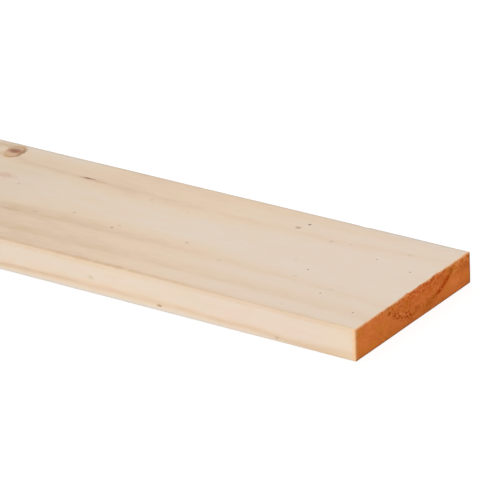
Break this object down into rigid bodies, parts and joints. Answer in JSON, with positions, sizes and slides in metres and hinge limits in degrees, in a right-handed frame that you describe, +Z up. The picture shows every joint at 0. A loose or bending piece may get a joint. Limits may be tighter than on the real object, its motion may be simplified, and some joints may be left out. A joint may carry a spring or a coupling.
{
  "type": "timber plank",
  "caption": "Flat planed softwood plank of standard section with eased long arrises and square sawn ends sealed with orange paint.",
  "frame": {"origin": "middle of the underside, the wide face that the plank lies on", "axes": "+X along the grain towards the end that the picture shows, +Y across the wide face, +Z up"},
  "size_m": [2.438, 0.235, 0.038],
  "materials": {
    "planed_softwood": "matte"
  },
  "bodies": {
    "root": {"plank": "planed_softwood"}
  },
  "joints": []
}
